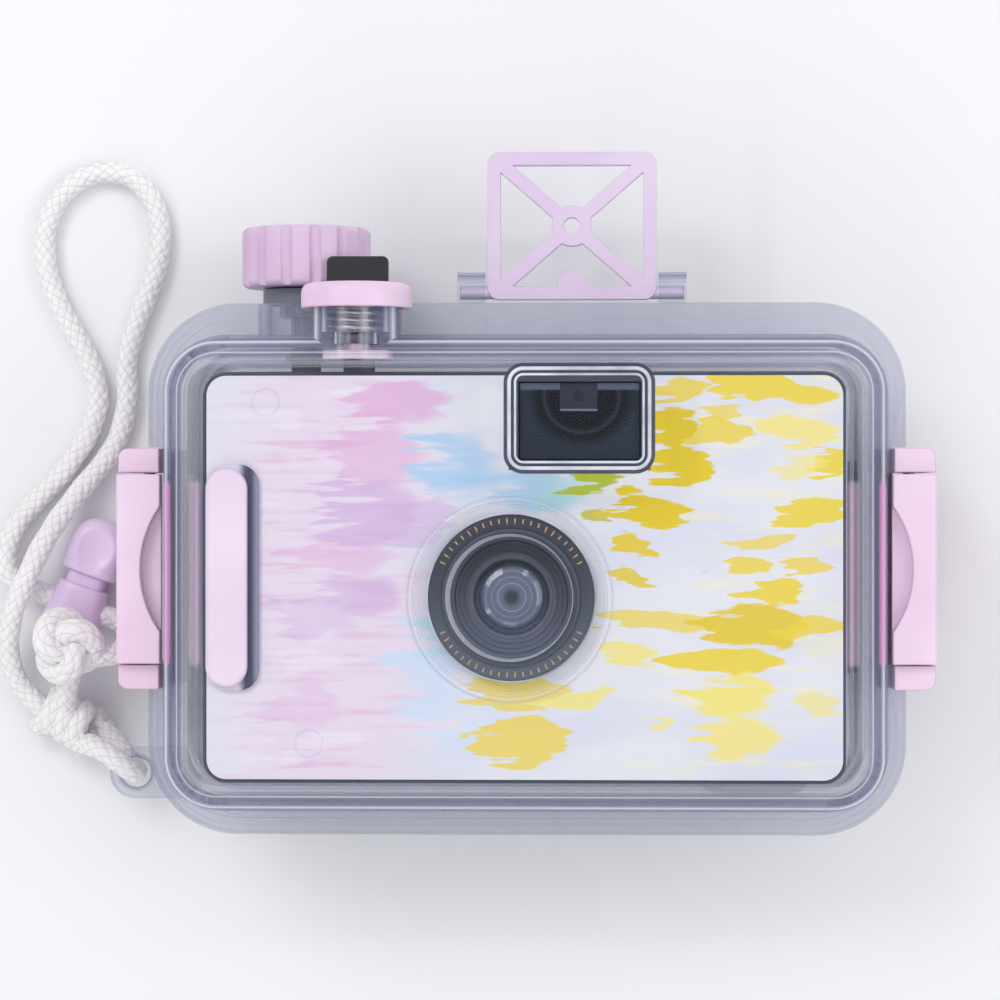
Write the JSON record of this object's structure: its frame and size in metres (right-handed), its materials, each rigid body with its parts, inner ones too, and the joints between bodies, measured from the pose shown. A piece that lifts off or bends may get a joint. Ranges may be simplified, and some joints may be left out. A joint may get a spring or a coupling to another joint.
{
  "type": "underwater camera",
  "caption": "Waterproof film camera: a focus-free camera in a clear latched case with sprung shutter button, winding knob, folding sight frame and a wrist strap with cord lock",
  "frame": {"origin": "on the case's flat back, under the centre of the sealing flange, lying on its back", "axes": "+X to the viewer's right across the front, +Y to the camera's top, +Z out of the lens"},
  "size_m": [0.1613, 0.1149, 0.054],
  "materials": {
    "clear_plastic": "clear moulded plastic",
    "pink_plastic": "satin pink",
    "pink_grip": "satin pink",
    "lilac_plastic": "satin lilac",
    "black_plastic": "glossy black",
    "camera_body": "fine matt",
    "inner_plastic": "plain moulded",
    "dial_white": "plain",
    "print": "printed pastel tie-dye",
    "grip_trim": "dark blue-grey",
    "bezel": "near-black with gold ticks",
    "bright_ring": "bright",
    "lens_glass": "coated",
    "window": "clear",
    "seal_rubber": "translucent grey",
    "steel": "plain",
    "rope": "white braid"
  },
  "bodies": {
    "case": {"rear_shell": "clear_plastic", "front_shell": "clear_plastic", "latch_bracket_left": "pink_plastic", "latch_bracket_right": "pink_plastic", "grip_bar": "pink_grip", "cord_lock_body": "lilac_plastic", "button_guard": "black_plastic", "front_cover": "camera_body", "film_door": "camera_body", "chassis": "camera_body", "finder_tunnel": "camera_body", "lens_barrel": "camera_body", "shutter_plate": "camera_body", "aperture_plate": "camera_body", "wind_collar": "inner_plastic", "print_panel": "print", "grip_trim": "grip_trim", "lens_bezel": "bezel", "lens_ring": "bright_ring", "front_lens": "lens_glass", "rear_lens": "lens_glass", "finder_front_lens": "window", "finder_rear_lens": "window", "case_gasket": "seal_rubber", "wind_seal": "seal_rubber", "shutter_seal": "seal_rubber", "latch_pin_left": "steel", "latch_pin_right": "steel", "door_hinge_pin": "steel", "shutter_spring": "steel", "cord_lock_spring": "steel", "pressure_spring": "steel", "blade_pin": "steel", "pressure_plate": "steel", "strap_loop": "rope", "strap_lug_loop": "rope", "strap_knot": "rope", "strap_hitch": "rope"},
    "latch_left": {"latch_lever_left": "pink_plastic"},
    "latch_right": {"latch_lever_right": "pink_plastic"},
    "sight": {"sight_frame": "pink_plastic"},
    "shutter": {"shutter_cap": "pink_plastic", "shutter_stem": "pink_plastic", "stem_foot": "pink_plastic"},
    "release": {"release_button": "inner_plastic"},
    "blade": {"shutter_blade": "steel"},
    "wind": {"wind_knob": "pink_plastic", "wind_shaft": "inner_plastic", "wind_screw": "steel", "advance_wheel": "inner_plastic", "take_up_spool": "inner_plastic"},
    "sprocket": {"sprocket": "inner_plastic"},
    "counter": {"counter_dial": "dial_white"},
    "rewind": {"rewind_knob": "inner_plastic", "rewind_fork": "inner_plastic"},
    "plunger": {"cord_lock_plunger": "lilac_plastic"}
  },
  "joints": [
    {"name": "latch_left_open", "type": "hinge", "parent": "case", "child": "latch_left", "pos_m": [-0.0646, 0, 0.017], "axis": [0, -1, 0], "range_deg": [0, 70]},
    {"name": "latch_right_open", "type": "hinge", "parent": "case", "child": "latch_right", "pos_m": [0.0646, 0, 0.017], "axis": [0, 1, 0], "range_deg": [0, 70]},
    {"name": "sight_fold", "type": "hinge", "parent": "case", "child": "sight", "pos_m": [0.0076, 0.0462, 0.025], "axis": [-1, 0, 0], "range_deg": [0, 90]},
    {"name": "shutter_press", "type": "slide", "parent": "case", "child": "shutter", "axis": [0, -1, 0], "range_m": [0, 0.002], "stiffness_N_per_m": 600, "springref_m": -0.001, "deforming": ["shutter_spring"]},
    {"name": "release_press", "type": "slide", "parent": "case", "child": "release", "axis": [0, -1, 0], "range_m": [0, 0.002]},
    {"name": "blade_swing", "type": "hinge", "parent": "case", "child": "blade", "pos_m": [0.0056, -0.0044, 0.0346], "axis": [0, 0, 1], "range_deg": [0, 30.5]},
    {"name": "wind_turn", "type": "hinge", "parent": "case", "child": "wind", "pos_m": [-0.0376, 0, 0.019], "axis": [0, 1, 0], "continuous": true},
    {"name": "sprocket_turn", "type": "hinge", "parent": "case", "child": "sprocket", "pos_m": [-0.0249, -0.004, 0.02], "axis": [0, 1, 0], "continuous": true},
    {"name": "counter_turn", "type": "hinge", "parent": "case", "child": "counter", "pos_m": [-0.01, 0.027, 0.026], "axis": [0, 1, 0], "continuous": true},
    {"name": "rewind_turn", "type": "hinge", "parent": "case", "child": "rewind", "pos_m": [0.038, -0.036, 0.027], "axis": [0, 1, 0], "continuous": true},
    {"name": "lock_press", "type": "slide", "parent": "case", "child": "plunger", "axis": [-0.342, -0.9397, 0], "range_m": [0, 0.0018], "stiffness_N_per_m": 400, "springref_m": -0.001, "deforming": ["cord_lock_spring"]}
  ],
  "couplings": [
    {"joint": "release_press", "follows": "shutter_press", "ratio": 1},
    {"joint": "blade_swing", "follows": "shutter_press", "rad_per_m": 261.8},
    {"joint": "sprocket_turn", "follows": "wind_turn", "ratio": 0.793},
    {"joint": "counter_turn", "follows": "wind_turn", "ratio": 0.0149}
  ]
}
